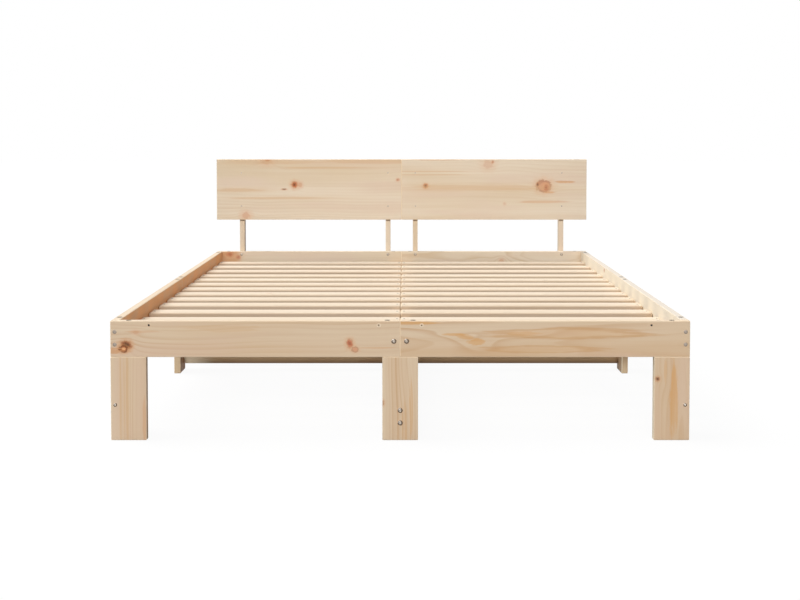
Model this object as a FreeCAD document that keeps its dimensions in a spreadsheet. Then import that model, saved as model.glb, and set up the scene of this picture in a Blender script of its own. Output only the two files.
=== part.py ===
import FreeCAD, Part
import os
import Sketcher

# Double bed frame in planed pine, bolted together from flat boards.
# X runs across the bed, Y from the foot to the head, Z up; the origin lies on the floor under the middle.

# Driving sizes in millimetres
DIMENSIONS = {
    "mattress_width": 1500,
    "mattress_length": 2000,
    "mattress_play": 11,
    "board_thickness": 22,
    "edge_ease": 1.5,
    "rail_height": 98,
    "leg_height": 225,
    "leg_width": 96,
    "slat_width": 76,
    "slat_thickness": 17,
    "slat_drop": 36,
    "slat_ease": 3,
    "slat_end_gap": 2,
    "slat_seam_gap": 1,
    "slat_first": 130,
    "slat_end_pitch": 161,
    "cleat_height": 30,
    "cleat_thickness": 22,
    "cleat_end_gap": 2,
    "bearer_width": 58,
    "bearer_height": 40,
    "splice_thickness": 22,
    "splice_lift": 130,
    "splice_cover": 13,
    "stretcher_height": 84,
    "stretcher_thickness": 22,
    "stretcher_lift": 22,
    "centre_post_size": 60,
    "tenon_length": 12,
    "tenon_thickness": 10,
    "tenon_shoulder": 12,
    "tenon_root": 5,
    "tenon_clearance": 0.2,
    "headboard_height": 254,
    "headboard_gap": 134,
    "headboard_thickness": 20,
    "head_post_width": 20,
    "head_post_depth": 42,
    "head_post_top_drop": 12,
    "head_post_inset": 104,
    "head_post_from_seam": 57.5,
    "bolt_clearance": 0.25,
    "over_cut": 1,
    "button_bolt_shank": 8,
    "button_bolt_head": 14,
    "button_bolt_crown": 4.5,
    "button_bolt_flat": 9,
    "button_bolt_grip": 45,
    "seam_bolt_offset": 17,
    "seam_bolt_lift": 43,
    "seam_bolt_grip": 18,
    "stretcher_bolt_spacing": 34,
    "leg_bolt_bore": 10.5,
    "leg_bolt_sink": 20,
    "leg_bolt_pair": 34.5,
    "post_hole_bore": 5.5,
    "post_hole_drop": 12,
}

# Positions that follow from the driving sizes
LAYOUT = {
    "inner_width": "Size.mattress_width + Size.mattress_play",
    "inner_length": "Size.mattress_length + Size.mattress_play",
    "frame_length": "Place.inner_length + 2 * Size.board_thickness",
    "right": "Place.inner_width / 2 + Size.board_thickness",
    "right_inner": "Place.inner_width / 2",
    "foot": "(Size.button_bolt_crown - Place.frame_length - Size.head_post_depth) / 2",
    "foot_inner": "Place.foot + Size.board_thickness",
    "head": "Place.foot + Place.frame_length",
    "head_inner": "Place.head - Size.board_thickness",
    "middle": "(Place.foot + Place.head) / 2",
    "rail_top": "Size.leg_height + Size.rail_height",
    "slat_top": "Place.rail_top - Size.slat_drop",
    "slat_bottom": "Place.slat_top - Size.slat_thickness",
    "slat_middle_pitch": "(Place.frame_length - 2 * Size.slat_first - 6 * Size.slat_end_pitch) / 6",
    "bearer_bottom": "Place.slat_bottom - Size.bearer_height",
    "seam_bolt_z": "Size.leg_height + Size.seam_bolt_lift",
    "splice_top": "Place.seam_bolt_z + Size.splice_cover",
    "stretcher_top": "Size.stretcher_lift + Size.stretcher_height",
    "stretcher_middle": "Size.stretcher_lift + Size.stretcher_height / 2",
    "cross": "Place.middle + Size.leg_width / 2 - Size.stretcher_thickness / 2",
    "post_half": "Size.centre_post_size / 2",
    "headboard_bottom": "Place.rail_top + Size.headboard_gap",
    "headboard_top": "Place.headboard_bottom + Size.headboard_height",
    "head_post_top": "Place.headboard_top - Size.head_post_top_drop",
    "head_post_outer": "Place.right - Size.head_post_inset",
    "head_post_inner": "Size.head_post_from_seam",
    "post_hole_z": "Place.rail_top - Size.post_hole_drop",
}

SLAT_ROWS = 13
SLAT_END_ROWS = 3

doc = FreeCAD.newDocument("double_bed")
exported = []


# Spreadsheets

def fill_sheet(name, entries, as_formula):
    sheet = doc.addObject("Spreadsheet::Sheet", name)
    for row, (alias, entry) in enumerate(entries.items(), start=1):
        sheet.set("A%d" % row, alias)
        sheet.set("B%d" % row, "=" + entry if as_formula else str(entry))
        sheet.setAlias("B%d" % row, alias)
    return sheet


fill_sheet("Size", DIMENSIONS, False)
fill_sheet("Place", LAYOUT, True)
doc.recompute()


# Building blocks

def bind(thing, **expressions):
    for name, expression in expressions.items():
        thing.setExpression(name, expression)
    return thing


def put(thing, x, y, z, direction=None):
    """Place a thing, with its own Z axis turned to a direction."""
    if direction is not None:
        rotation = FreeCAD.Rotation(FreeCAD.Vector(0, 0, 1), FreeCAD.Vector(*direction))
        thing.Placement = FreeCAD.Placement(FreeCAD.Vector(0, 0, 0), rotation)
    for axis, expression in (("x", x), ("y", y), ("z", z)):
        thing.setExpression("Placement.Base." + axis, expression)
    return thing


def span(low, high):
    return "(%s) - (%s)" % (high, low)


def rectangle(body, name, x_size, y_size):
    """A rectangle on the body's XY plane with one corner at its origin."""
    sketch = body.newObject("Sketcher::SketchObject", name)
    plane = next(feature for feature in body.Origin.OriginFeatures if feature.Role == "XY_Plane")
    sketch.AttachmentSupport = (plane, [""])
    sketch.MapMode = "FlatFace"
    corners = [FreeCAD.Vector(*point) for point in ((0, 0, 0), (60, 0, 0), (60, 40, 0), (0, 40, 0))]
    for side in range(4):
        sketch.addGeometry(Part.LineSegment(corners[side], corners[(side + 1) % 4]), False)
    for side in range(4):
        sketch.addConstraint(Sketcher.Constraint("Coincident", side, 2, (side + 1) % 4, 1))
    for side in (0, 2):
        sketch.addConstraint(Sketcher.Constraint("Horizontal", side))
    for side in (1, 3):
        sketch.addConstraint(Sketcher.Constraint("Vertical", side))
    sketch.addConstraint(Sketcher.Constraint("Coincident", 0, 1, -1, 1))
    along_x = sketch.addConstraint(Sketcher.Constraint("DistanceX", 0, 1, 0, 2, 60))
    sketch.renameConstraint(along_x, "x_size")
    along_y = sketch.addConstraint(Sketcher.Constraint("DistanceY", 1, 1, 1, 2, 40))
    sketch.renameConstraint(along_y, "y_size")
    return bind(sketch, **{"Constraints.x_size": x_size, "Constraints.y_size": y_size})


def board(name, x, y, z, easing="Size.edge_ease"):
    """A planed board between two planes on each axis, with every edge eased."""
    body = doc.addObject("PartDesign::Body", name + "_stock")
    pad = body.newObject("PartDesign::Pad", name + "_pad")
    pad.Profile = rectangle(body, name + "_plan", span(*x), span(*y))
    bind(pad, Length=span(*z))
    doc.recompute()
    ease = body.newObject("PartDesign::Chamfer", name + "_ease")
    ease.Base = (pad, [""])
    ease.UseAllEdges = True
    bind(ease, Size=easing)
    body.Tip = ease
    return put(body, x[0], y[0], z[0])


def block(name, x, y, z):
    """A plain rectangular block between two planes on each axis."""
    box = bind(doc.addObject("Part::Box", name), Length=span(*x), Width=span(*y), Height=span(*z))
    return put(box, x[0], y[0], z[0])


def cylinder(name, radius, height):
    return bind(doc.addObject("Part::Cylinder", name), Radius=radius, Height=height)


def joined(name, pieces):
    if len(pieces) == 1:
        return pieces[0]
    fusion = doc.addObject("Part::MultiFuse", name)
    fusion.Shapes = pieces
    return fusion


def export(thing, label):
    thing.Label = label
    exported.append(thing)
    return thing


def finished(label, stock, tools=()):
    """A finished piece: its stock less the holes and sockets that are cut in it."""
    if not tools:
        return export(stock, label)
    cut = doc.addObject("Part::Cut", label)
    cut.Base = stock
    cut.Tool = joined(label + "_holes", list(tools))
    return export(cut, label)


def centred(size):
    return ("-%s / 2" % size, "%s / 2" % size)


def around(centre, size):
    return ("%s - %s / 2" % (centre, size), "%s + %s / 2" % (centre, size))


def mirrored(pair):
    return ("-(%s)" % pair[1], "-(%s)" % pair[0])


def on_side(side, pair):
    """A pair of X planes of the right-hand side, or their mirror image on the left."""
    return pair if side == "right" else mirrored(pair)


def sign(side):
    return "" if side == "right" else "-"


# Button-head bolts, drawn on a Z axis that points into the wood, with the board's face at zero

def button_bolt(name, length):
    """A bolt whose low conical head stands on the face."""
    head = doc.addObject("Part::Cone", name + "_head")
    bind(
        head,
        Radius1="Size.button_bolt_flat / 2",
        Radius2="Size.button_bolt_head / 2",
        Height="Size.button_bolt_crown",
    )
    put(head, "0", "0", "-Size.button_bolt_crown")
    shank = cylinder(name + "_shank", "Size.button_bolt_shank / 2", length)
    return joined(name, [head, shank])


class ButtonBolts:
    """Equal bolts: one master and its hole, copied to every station."""

    def __init__(self, label, grip):
        length = "Size.board_thickness + " + grip
        self.label = label
        self.master = button_bolt(label + "_master", length)
        hole_radius = "Size.button_bolt_shank / 2 + Size.bolt_clearance"
        self.hole = cylinder(label + "_hole", hole_radius, length + " + Size.bolt_clearance")
        self.copies = []

    def copy(self, source, station):
        link = doc.addObject("App::Link", source.Name + "_copy")
        link.LinkedObject = source
        return put(link, *station)

    def place(self, *station):
        """Put a bolt in, and give back the hole to cut in every board that it passes."""
        self.copies.append(self.copy(self.master, station))
        return self.copy(self.hole, station)

    def finish(self):
        group = doc.addObject("Part::Compound", self.label)
        group.Links = self.copies
        export(group, self.label)


seam_bolts = ButtonBolts("seam_bolts", "Size.seam_bolt_grip")
stretcher_bolts = ButtonBolts("stretcher_bolts", "Size.button_bolt_grip")

INTO_HEAD = (0, 1, 0)
INTO_FOOT = (0, -1, 0)
DOWN = (0, 0, -1)
INWARD = {"left": (1, 0, 0), "right": (-1, 0, 0)}
SIDES = ("left", "right")

# Each end of the bed: its outer face, the way its bolts point and the sign along Y
ENDS = {
    "foot": ("Place.foot", INTO_HEAD, "+"),
    "head": ("Place.head", INTO_FOOT, "-"),
}


def end_planes(end, near, far):
    """A pair of Y planes at two depths inside an end's outer face."""
    outer, _, way = ENDS[end]
    planes = ("%s %s (%s)" % (outer, way, near), "%s %s (%s)" % (outer, way, far))
    return planes if end == "foot" else planes[::-1]


def leg_bolt_sink(x, y):
    """The counterbore in a rail's top edge for a bolt that goes down into a leg."""
    bore = cylinder("leg_bolt_sink", "Size.leg_bolt_bore / 2", "Size.leg_bolt_sink + Size.over_cut")
    return put(bore, x, y, "Place.rail_top + Size.over_cut", DOWN)


def spare_hole(x):
    """A small hole through the foot rail, where posts for a footboard could be fixed."""
    bore = cylinder("spare_hole", "Size.post_hole_bore / 2", "Size.board_thickness + 2 * Size.over_cut")
    return put(bore, x, "Place.foot - Size.over_cut", "Place.post_hole_z", INTO_HEAD)


# Rails, with two halves on every side of the bed, and the legs under them

rail_z = ("Size.leg_height", "Place.rail_top")
leg_z = ("0", "Size.leg_height")
thick = "Size.board_thickness"
stretcher_holes = {key: [] for key in ("foot", "head", "left", "right")}
splice_cuts = {end: [] for end in ENDS}


def build_end(end):
    outer, into, way = ENDS[end]
    end_y = end_planes(end, "0", thick)
    sink_y = "%s %s Size.board_thickness / 2" % (outer, way)
    for side in SIDES:
        minus = sign(side)
        seam = seam_bolts.place(minus + "Size.seam_bolt_offset", outer, "Place.seam_bolt_z", into)
        splice_cuts[end].append(seam)
        holes = [
            seam,
            leg_bolt_sink("%s(Place.right - Size.leg_width / 2)" % minus, sink_y),
            leg_bolt_sink(minus + "Size.leg_bolt_pair", sink_y),
        ]
        if end == "foot":
            holes += [spare_hole(minus + "Place.head_post_outer"), spare_hole(minus + "Place.head_post_inner")]
        rail = board("%s_rail_%s" % (end, side), on_side(side, ("0", "Place.right")), end_y, rail_z)
        finished("%s_rail_%s" % (end, side), rail, holes)
        build_corner_leg(end, side)

    for way_up in ("-", "+"):
        z = "Place.stretcher_middle %s Size.stretcher_bolt_spacing / 2" % way_up
        stretcher_holes[end].append(stretcher_bolts.place("0", outer, z, into))
    leg = board("%s_centre_leg" % end, centred("Size.leg_width"), end_y, leg_z)
    finished("%s_centre_leg" % end, leg, stretcher_holes[end])


def build_corner_leg(end, side):
    """A corner leg is two boards: one under the end rail, one under the side rail."""
    face_x = on_side(side, ("Place.right - Size.leg_width", "Place.right"))
    face = board("%s_%s_leg_face" % (end, side), face_x, end_planes(end, "0", thick), leg_z)
    finished("%s_%s_leg_face" % (end, side), face)
    flank_x = on_side(side, ("Place.right_inner", "Place.right"))
    flank_y = end_planes(end, thick, thick + " + Size.leg_width")
    flank = board("%s_%s_leg_side" % (end, side), flank_x, flank_y, leg_z)
    finished("%s_%s_leg_side" % (end, side), flank)


def build_side(side):
    minus = sign(side)
    rail_x = on_side(side, ("Place.right_inner", "Place.right"))
    sink_x = "%s(Place.right - Size.board_thickness / 2)" % minus
    halves = {"foot": ("Place.foot_inner", "Place.middle"), "head": ("Place.middle", "Place.head_inner")}
    for end, rail_y in halves.items():
        corner, away = (rail_y[0], "+") if end == "foot" else (rail_y[1], "-")
        back = "-" if away == "+" else "+"
        holes = [
            leg_bolt_sink(sink_x, "%s %s Size.leg_width / 2" % (corner, away)),
            leg_bolt_sink(sink_x, "Place.middle %s Size.leg_bolt_pair" % back),
        ]
        rail = board("%s_rail_%s_half" % (side, end), rail_x, rail_y, rail_z)
        finished("%s_rail_%s_half" % (side, end), rail, holes)
    for way_up in ("-", "+"):
        z = "Place.stretcher_middle %s Size.stretcher_bolt_spacing / 2" % way_up
        hole = stretcher_bolts.place(minus + "Place.right", "Place.cross", z, INWARD[side])
        stretcher_holes[side].append(hole)
    leg = board("%s_middle_leg" % side, rail_x, around("Place.middle", "Size.leg_width"), leg_z)
    finished("%s_middle_leg" % side, leg, stretcher_holes[side])


for bed_end in ENDS:
    build_end(bed_end)
for bed_side in SIDES:
    build_side(bed_side)


# Middle of the bed: splice boards behind the rail seams, low stretchers, centre post and bearers

def grown(pair):
    """The planes of a socket that takes a tenon with clearance all round."""
    return ("%s - Size.tenon_clearance" % pair[0], "%s + Size.tenon_clearance" % pair[1])


post_sockets = []
stretcher_z = ("Size.stretcher_lift", "Place.stretcher_top")
stretcher_tenon_z = ("Size.stretcher_lift + Size.tenon_shoulder", "Place.stretcher_top - Size.tenon_shoulder")


def build_stretcher(label, x, y, tenon_x, tenon_y, holes):
    """A low board whose inner end has a stub tenon in the centre post."""
    stock = board(label, x, y, stretcher_z)
    tenon = block(label + "_tenon", tenon_x, tenon_y, stretcher_tenon_z)
    socket = block(label + "_socket", grown(tenon_x), grown(tenon_y), grown(stretcher_tenon_z))
    post_sockets.append(socket)
    finished(label, joined(label + "_tenoned", [stock, tenon]), holes)


def build_stretchers():
    thickness_x = centred("Size.stretcher_thickness")
    tenon_x = centred("Size.tenon_thickness")
    thickness_y = around("Place.cross", "Size.stretcher_thickness")
    tenon_y = around("Place.cross", "Size.tenon_thickness")
    near = "Place.cross - Place.post_half"
    far = "Place.cross + Place.post_half"
    foot_y = ("Place.foot_inner", near)
    foot_tenon = (near + " - Size.tenon_root", near + " + Size.tenon_length")
    build_stretcher("long_stretcher_foot", thickness_x, foot_y, tenon_x, foot_tenon, stretcher_holes["foot"])
    head_y = (far, "Place.head_inner")
    head_tenon = (far + " - Size.tenon_length", far + " + Size.tenon_root")
    build_stretcher("long_stretcher_head", thickness_x, head_y, tenon_x, head_tenon, stretcher_holes["head"])
    for side in SIDES:
        x = on_side(side, ("Place.post_half", "Place.right_inner"))
        tenon = on_side(side, ("Place.post_half - Size.tenon_length", "Place.post_half + Size.tenon_root"))
        build_stretcher("cross_stretcher_" + side, x, thickness_y, tenon, tenon_y, stretcher_holes[side])


def build_bearer(end):
    """Half of the long bearer under the slats, tenoned in the splice board behind the end rail."""
    depth = "Size.board_thickness + Size.splice_thickness"
    planes = end_planes(end, depth, depth)
    bearer_y = (planes[0], "Place.cross") if end == "foot" else ("Place.cross", planes[0])
    bearer_z = ("Place.bearer_bottom", "Place.slat_bottom")
    stock = board("bearer_" + end, centred("Size.bearer_width"), bearer_y, bearer_z)
    tenon_x = centred("(Size.bearer_width - 2 * Size.tenon_shoulder)")
    tenon_y = end_planes(end, depth + " - Size.tenon_length", depth + " + Size.tenon_root")
    tenon_z = around("(Place.slat_bottom - Size.bearer_height / 2)", "Size.tenon_thickness")
    tenon = block("bearer_%s_tenon" % end, tenon_x, tenon_y, tenon_z)
    splice_cuts[end].append(block("bearer_%s_socket" % end, grown(tenon_x), grown(tenon_y), grown(tenon_z)))
    finished("bearer_" + end, joined("bearer_%s_tenoned" % end, [stock, tenon]))


def build_splices():
    for end in ENDS:
        y = end_planes(end, thick, thick + " + Size.splice_thickness")
        z = ("Size.splice_lift", "Place.splice_top")
        stock = board("splice_" + end, centred("Size.leg_width"), y, z)
        finished("splice_" + end, stock, splice_cuts[end])
    for side in SIDES:
        x = on_side(side, ("Place.right_inner - Size.splice_thickness", "Place.right_inner"))
        y = around("Place.middle", "Size.leg_width")
        stock = board("splice_" + side, x, y, ("Size.splice_lift", "Place.slat_bottom"))
        finished("splice_" + side, stock)


def build_centre_post():
    y = around("Place.cross", "Size.centre_post_size")
    stock = board("centre_post", centred("Size.centre_post_size"), y, ("0", "Place.bearer_bottom"))
    finished("centre_post", stock, post_sockets)


build_stretchers()
build_centre_post()
for bed_end in ENDS:
    build_bearer(bed_end)
build_splices()


# Cleats along the side rails, and the slats that lie on cleats and bearer

def build_cleats():
    z = ("Place.slat_bottom - Size.cleat_height", "Place.slat_bottom")
    for side in SIDES:
        x = on_side(side, ("Place.right_inner - Size.cleat_thickness", "Place.right_inner"))
        foot_y = ("Place.foot_inner + Size.cleat_end_gap", "Place.middle - Size.leg_width / 2")
        head_y = ("Place.middle + Size.leg_width / 2", "Place.head_inner - Size.cleat_end_gap")
        for end, y in (("foot", foot_y), ("head", head_y)):
            finished("cleat_%s_%s" % (side, end), board("cleat_%s_%s" % (side, end), x, y, z))


def slat_centre(row):
    """Rows stand wider apart at both ends of the bed than in its middle."""
    end_steps = min(row, SLAT_END_ROWS) + max(0, row - (SLAT_ROWS - 1 - SLAT_END_ROWS))
    middle_steps = row - end_steps
    steps = "%d * Size.slat_end_pitch + %d * Place.slat_middle_pitch" % (end_steps, middle_steps)
    return "(Place.foot + Size.slat_first + %s)" % steps


def build_slats():
    for row in range(SLAT_ROWS):
        y = around(slat_centre(row), "Size.slat_width")
        z = ("Place.slat_bottom", "Place.slat_top")
        halves = []
        for side in SIDES:
            x = on_side(side, ("Size.slat_seam_gap / 2", "Place.right_inner - Size.slat_end_gap"))
            halves.append(board("slat_%02d_%s" % (row + 1, side), x, y, z, "Size.slat_ease"))
        pair = doc.addObject("Part::Compound", "slat_row_%02d" % (row + 1))
        pair.Links = halves
        export(pair, "slat_row_%02d" % (row + 1))


build_cleats()
build_slats()


# Headboard: two boards side by side on four posts behind the head rail

def build_headboard():
    board_y = ("Place.head - Size.headboard_thickness", "Place.head")
    board_z = ("Place.headboard_bottom", "Place.headboard_top")
    post_y = ("Place.head", "Place.head + Size.head_post_depth")
    post_z = ("Size.leg_height", "Place.head_post_top")
    for side in SIDES:
        for row in ("outer", "inner"):
            label = "head_post_%s_%s" % (side, row)
            x = around("%sPlace.head_post_%s" % (sign(side), row), "Size.head_post_width")
            finished(label, board(label, x, post_y, post_z))
        panel = board("headboard_" + side, on_side(side, ("0", "Place.right")), board_y, board_z)
        finished("headboard_" + side, panel)


build_headboard()
seam_bolts.finish()
stretcher_bolts.finish()

# Recompute, check and write

doc.recompute()
for thing in doc.Objects:
    if "Invalid" in thing.State or "Error" in thing.State:
        raise RuntimeError("%s has the state %s" % (thing.Label, thing.State))
for thing in exported:
    if thing.Shape.isNull() or not thing.Shape.isValid():
        raise RuntimeError("%s has no valid shape" % thing.Label)

os.makedirs("parts", exist_ok=True)
for thing in exported:
    thing.Shape.exportStep("parts/%s.step" % thing.Label)
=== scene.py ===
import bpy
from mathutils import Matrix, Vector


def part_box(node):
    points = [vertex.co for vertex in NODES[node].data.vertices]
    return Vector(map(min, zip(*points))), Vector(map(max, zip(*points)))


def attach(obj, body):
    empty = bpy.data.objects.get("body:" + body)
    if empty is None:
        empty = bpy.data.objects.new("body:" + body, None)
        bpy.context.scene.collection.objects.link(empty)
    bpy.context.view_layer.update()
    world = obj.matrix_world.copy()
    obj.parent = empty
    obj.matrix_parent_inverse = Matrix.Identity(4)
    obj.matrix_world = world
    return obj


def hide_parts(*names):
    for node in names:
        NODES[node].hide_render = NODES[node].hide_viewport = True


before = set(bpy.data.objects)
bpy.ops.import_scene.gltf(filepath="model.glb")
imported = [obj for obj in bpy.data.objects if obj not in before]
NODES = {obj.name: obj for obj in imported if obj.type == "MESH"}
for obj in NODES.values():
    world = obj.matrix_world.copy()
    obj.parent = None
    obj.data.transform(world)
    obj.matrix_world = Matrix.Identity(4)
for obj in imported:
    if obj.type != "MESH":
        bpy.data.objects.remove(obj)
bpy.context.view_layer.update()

import math
import random

import bmesh
import bpy
from mathutils import Matrix, Vector

MM = 0.001
X, Y, Z = 0, 1, 2
AXES = (X, Y, Z)
SIGNS = (-1, 1)

# Places and sizes on the bed, in metres

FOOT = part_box("foot_rail_left")[0][Y]
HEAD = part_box("head_rail_left")[1][Y]
MIDDLE = (FOOT + HEAD) / 2
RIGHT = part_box("foot_rail_right")[1][X]
RAIL_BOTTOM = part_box("foot_rail_right")[0][Z]
RAIL_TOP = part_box("foot_rail_right")[1][Z]
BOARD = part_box("foot_rail_right")[1][Y] - FOOT
PANEL_LOW, PANEL_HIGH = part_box("headboard_left")
LEG_WIDTH = 96 * MM
LEG_PAIR = 34.5 * MM
POSTS = (57.5 * MM, 673.5 * MM)
POST_BOLT_HEIGHT = RAIL_TOP - 12 * MM


def leg_bolt_wells():
    """Where the bolts go down into the legs, in the rails' top edges."""
    side = RIGHT - BOARD / 2
    wells = []
    for y, inward in ((FOOT, 1), (HEAD, -1)):
        edge = y + inward * BOARD / 2
        for sign in SIGNS:
            wells.append((sign * (RIGHT - LEG_WIDTH / 2), edge))
            wells.append((sign * LEG_PAIR, edge))
            wells.append((sign * side, y + inward * (BOARD + LEG_WIDTH / 2)))
    return wells + [(sign * side, MIDDLE + way * LEG_PAIR) for sign in SIGNS for way in SIGNS]


WELLS = leg_bolt_wells()

# Shader building

# Sockets of a mix node that hold colours
MIX_FIRST, MIX_SECOND, MIX_RESULT = 6, 7, 2
SCALAR_RESULTS = ("LENGTH", "DOT_PRODUCT")


class Shader:
    """Short names for the nodes of one material or node group."""

    def __init__(self, tree):
        self.tree = tree

    def node(self, kind, **settings):
        made = self.tree.nodes.new(kind)
        for name, value in settings.items():
            setattr(made, name, value)
        return made

    def feed(self, socket, value):
        if isinstance(value, bpy.types.NodeSocket):
            self.tree.links.new(value, socket)
        else:
            socket.default_value = value

    def math(self, operation, a, b=0.0, clamp=False):
        made = self.node("ShaderNodeMath", operation=operation, use_clamp=clamp)
        self.feed(made.inputs[0], a)
        self.feed(made.inputs[1], b)
        return made.outputs[0]

    def plus(self, a, b, clamp=False):
        return self.math("ADD", a, b, clamp)

    def times(self, a, b, clamp=False):
        return self.math("MULTIPLY", a, b, clamp)

    def size(self, value):
        return self.math("ABSOLUTE", value)

    def greater(self, a, b):
        return self.math("MAXIMUM", a, b)

    def swing(self, value, reach):
        """A value from 0 to 1 turned into a swing round zero."""
        return self.times(self.math("SUBTRACT", value, 0.5), reach)

    def vector(self, operation, a, b=(0.0, 0.0, 0.0)):
        made = self.node("ShaderNodeVectorMath", operation=operation)
        self.feed(made.inputs[0], a)
        self.feed(made.inputs[1], b)
        return made.outputs["Value" if operation in SCALAR_RESULTS else "Vector"]

    def distance(self, place, centre, shares):
        """How far a place is from the centre, with a share of 0 for an axis that doesn't count."""
        away = self.vector("MULTIPLY", self.vector("SUBTRACT", place, centre), shares)
        return self.vector("LENGTH", away)

    def parts(self, value):
        made = self.node("ShaderNodeSeparateXYZ")
        self.feed(made.inputs[0], value)
        return made.outputs

    def combine(self, x=0.0, y=0.0, z=0.0):
        made = self.node("ShaderNodeCombineXYZ")
        for socket, value in zip(made.inputs, (x, y, z)):
            self.feed(socket, value)
        return made.outputs[0]

    def noise(self, place, scale=1.0, detail=2.0, roughness=0.5):
        made = self.node("ShaderNodeTexNoise")
        self.feed(made.inputs["Vector"], place)
        made.inputs["Scale"].default_value = scale
        made.inputs["Detail"].default_value = detail
        made.inputs["Roughness"].default_value = roughness
        return made.outputs

    def grain(self, place, scales, detail=2.0, roughness=0.5):
        """A noise from 0 to 1 with its own scale along each axis."""
        place = self.vector("MULTIPLY", place, scales)
        return self.noise(place, detail=detail, roughness=roughness)["Fac"]

    def ramp(self, factor, stops):
        """A colour ramp from pairs of position and grey level."""
        made = self.node("ShaderNodeValToRGB")
        elements = made.color_ramp.elements
        while len(elements) < len(stops):
            elements.new(0.5)
        for element, (position, level) in zip(elements, stops):
            element.position = position
            element.color = (level, level, level, 1)
        self.feed(made.inputs[0], factor)
        return made.outputs[0]

    def fade(self, value, low, high):
        """0 below low, 1 above high, smooth between; low may be the larger."""
        made = self.node("ShaderNodeMapRange", interpolation_type="SMOOTHSTEP")
        self.feed(made.inputs["Value"], value)
        made.inputs["From Min"].default_value = low
        made.inputs["From Max"].default_value = high
        return made.outputs[0]

    def blend(self, factor, a, b):
        made = self.node("ShaderNodeMix", data_type="RGBA")
        self.feed(made.inputs[0], factor)
        self.feed(made.inputs[MIX_FIRST], a)
        self.feed(made.inputs[MIX_SECOND], b)
        return made.outputs[MIX_RESULT]

    def cover(self, color, mask, share, tint):
        """The colour with a share of the tint over it where the mask is 1."""
        return self.blend(self.times(mask, share), color, tint)

    def relief(self, shader, height, strength, distance):
        """Bumps on the surface; their distance is in metres."""
        made = self.node("ShaderNodeBump")
        made.inputs["Strength"].default_value = strength
        made.inputs["Distance"].default_value = distance
        self.feed(made.inputs["Height"], height)
        self.feed(shader.inputs["Normal"], made.outputs["Normal"])


def srgb(red, green, blue):
    """A linear colour from 8-bit sRGB levels."""
    def linear(level):
        level /= 255
        return level / 12.92 if level <= 0.04045 else ((level + 0.055) / 1.055) ** 2.4
    return (linear(red), linear(green), linear(blue), 1.0)


def new_material(name):
    material = bpy.data.materials.new(name)
    material.use_nodes = True
    return material, Shader(material.node_tree)


def new_group(name, inputs, outputs):
    tree = bpy.data.node_groups.new(name, "ShaderNodeTree")
    for way, sockets in (("INPUT", inputs), ("OUTPUT", outputs)):
        for socket, kind in sockets:
            tree.interface.new_socket(socket, in_out=way, socket_type="NodeSocket" + kind)
    shader = Shader(tree)
    given = shader.node("NodeGroupInput").outputs
    result = shader.node("NodeGroupOutput").inputs
    return tree, shader, given, result


# Pine: growth rings round a pith line, fibres along the grain, knots that push the rings aside

# Scales of the noises along the grain, across the board and through it
WANDER_SCALES = (1.6, 2.0, 2.0)
RIPPLE_SCALES = (9.0, 60.0, 60.0)
FIBRE_SCALES = (7.0, 420.0, 420.0)
STREAK_SCALES = (1.5, 55.0, 55.0)
BAND_SCALES = (0.6, 20.0, 20.0)
HEART_SCALES = (1.1, 7.0, 7.0)
BLUSH_SCALES = (2.3, 16.0, 16.0)
FIBRE_ROUGHNESS = 0.6
SEED_STRIDES = (3.17, 1.0, 1.91)
MID_GREY = (0.5, 0.5, 0.5)
# How far the rings wander and ripple, in metres
WANDER = (0.0, 0.05, 0.05)
RIPPLE = 0.0022
ACROSS_GRAIN = (0.0, 1.0, 1.0)
# Growth rings: how years differ, and how dark a ring is from its inner to its outer side
YEAR_SCALE = 0.45
YEAR_SPREAD = 1.6
LATE_WOOD = ((0.0, 0.0), (0.45, 0.12), (0.86, 1.0), (0.93, 0.75), (1.0, 0.0))
LATE_LEAST = 0.45
# Spells of years with stronger and weaker rings
SPELL_SCALE = 0.17
SPELL_SEED = 7.7
SPELL_ALONG = 0.7
SPELL_LIMITS = (0.38, 0.62)
SPELL_GAIN = 1.05
SPELL_LEAST = 0.2
# How much each noise darkens or tints the wood
FIBRE_SWING = 0.35
STREAK_SWING = 0.7
BAND_SWING = 0.8
LEAST_DEPTH = 0.12
HEART_LIMITS = (0.46, 0.7)
BLUSH_LIMITS = (0.48, 0.7)
CLOUD_SHARE = 0.5
# Relief and gloss
LATE_HEIGHT = 0.35
FIBRE_HEIGHT = 0.65
ROUGHNESS = 0.5
LATE_GLOSS = 0.08
FIBRE_MATT = 0.22
WOOD_SPECULAR = 0.35
WOOD_RELIEF = (0.25, 0.0006)


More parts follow.
